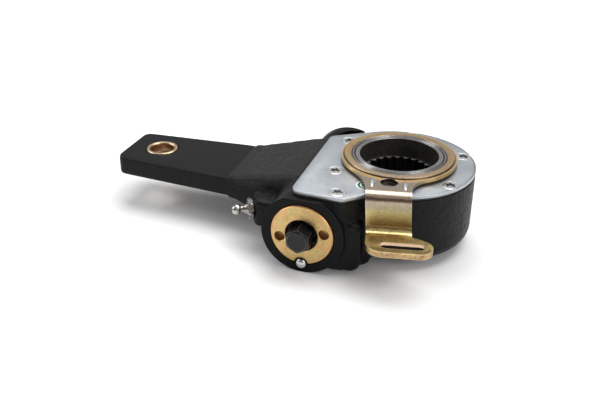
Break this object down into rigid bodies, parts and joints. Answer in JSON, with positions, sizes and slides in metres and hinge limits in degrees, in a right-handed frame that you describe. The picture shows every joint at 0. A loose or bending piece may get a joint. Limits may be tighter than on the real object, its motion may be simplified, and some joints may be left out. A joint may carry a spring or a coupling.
{
  "type": "brake slack adjuster",
  "caption": "Automatic slack adjuster for an S-cam drum brake: cast lever with bushed clevis hole, splined worm wheel, worm and a slotted control arm.",
  "frame": {"origin": "on the camshaft's axis, in the plane of the casting's lower collar face, which the part lies on", "axes": "+Z along the splined camshaft bore towards the control arm, -X along the lever arm to the clevis hole, -Y along the worm to its adjusting hexagon"},
  "size_m": [0.208, 0.1101, 0.0499],
  "materials": {
    "black_paint": "semi-gloss black paint on cast iron",
    "yellow_zinc": "yellow passivated zinc plating",
    "galvanised": "bright zinc-coated sheet",
    "steel": "machined steel",
    "black_oxide": "black oxide on steel",
    "bronze": "plain bearing bronze",
    "bright_steel": "bright zinc-plated steel",
    "rubber": "moulded seal rubber",
    "gasket_paper": "pressed gasket paper"
  },
  "bodies": {
    "housing": {"housing": "black_paint", "clevis_bush": "bronze", "cover_plate": "galvanised", "cover_gasket": "gasket_paper", "cover_seal": "rubber", "cover_screw_1": "bright_steel", "cover_screw_2": "bright_steel", "cover_screw_3": "bright_steel", "cover_screw_4": "bright_steel", "cover_screw_5": "bright_steel", "cover_screw_6": "bright_steel", "cover_screw_7": "bright_steel", "lower_seal": "rubber", "wheel_thrust_washer": "bright_steel", "front_retainer": "yellow_zinc", "locking_pin": "bright_steel", "shaft_seal": "rubber", "front_thrust_washer": "bright_steel", "thrust_bearing": "bright_steel", "spring_seat": "steel", "strong_spring": "black_oxide", "rear_plug": "black_oxide", "grease_nipple": "bright_steel"},
    "worm_wheel": {"worm_wheel": "steel", "upper_seal": "rubber"},
    "worm_shaft": {"worm_shaft": "black_oxide", "clutch_ring": "steel"},
    "control_arm": {"control_arm": "yellow_zinc", "control_disc": "steel"},
    "rack": {"rack": "black_oxide"},
    "drive_gear": {"drive_gear": "steel", "clutch_spring": "bright_steel"}
  },
  "joints": [
    {"name": "worm_wheel_turn", "type": "hinge", "parent": "housing", "child": "worm_wheel", "pos_m": [0, 0, 0], "axis": [0, 0, 1], "continuous": true},
    {"name": "worm_turn", "type": "hinge", "parent": "housing", "child": "worm_shaft", "pos_m": [-0.0372, 0, 0.0225], "axis": [0, 1, 0], "continuous": true},
    {"name": "control_arm_swing", "type": "hinge", "parent": "housing", "child": "control_arm", "pos_m": [0, 0, 0], "axis": [0, 0, 1], "range_deg": [0, 20]},
    {"name": "rack_slide", "type": "slide", "parent": "housing", "child": "rack", "axis": [1, 0, 0], "range_m": [0, 0.0108]},
    {"name": "drive_gear_turn", "type": "hinge", "parent": "housing", "child": "drive_gear", "pos_m": [-0.0372, 0, 0.0225], "axis": [0, 1, 0], "range_deg": [0, 49.6]}
  ],
  "couplings": [
    {"joint": "worm_turn", "follows": "worm_wheel_turn", "ratio": 22},
    {"joint": "rack_slide", "follows": "control_arm_swing", "m_per_rad": 0.0305},
    {"joint": "drive_gear_turn", "follows": "control_arm_swing", "ratio": 2.44}
  ]
}
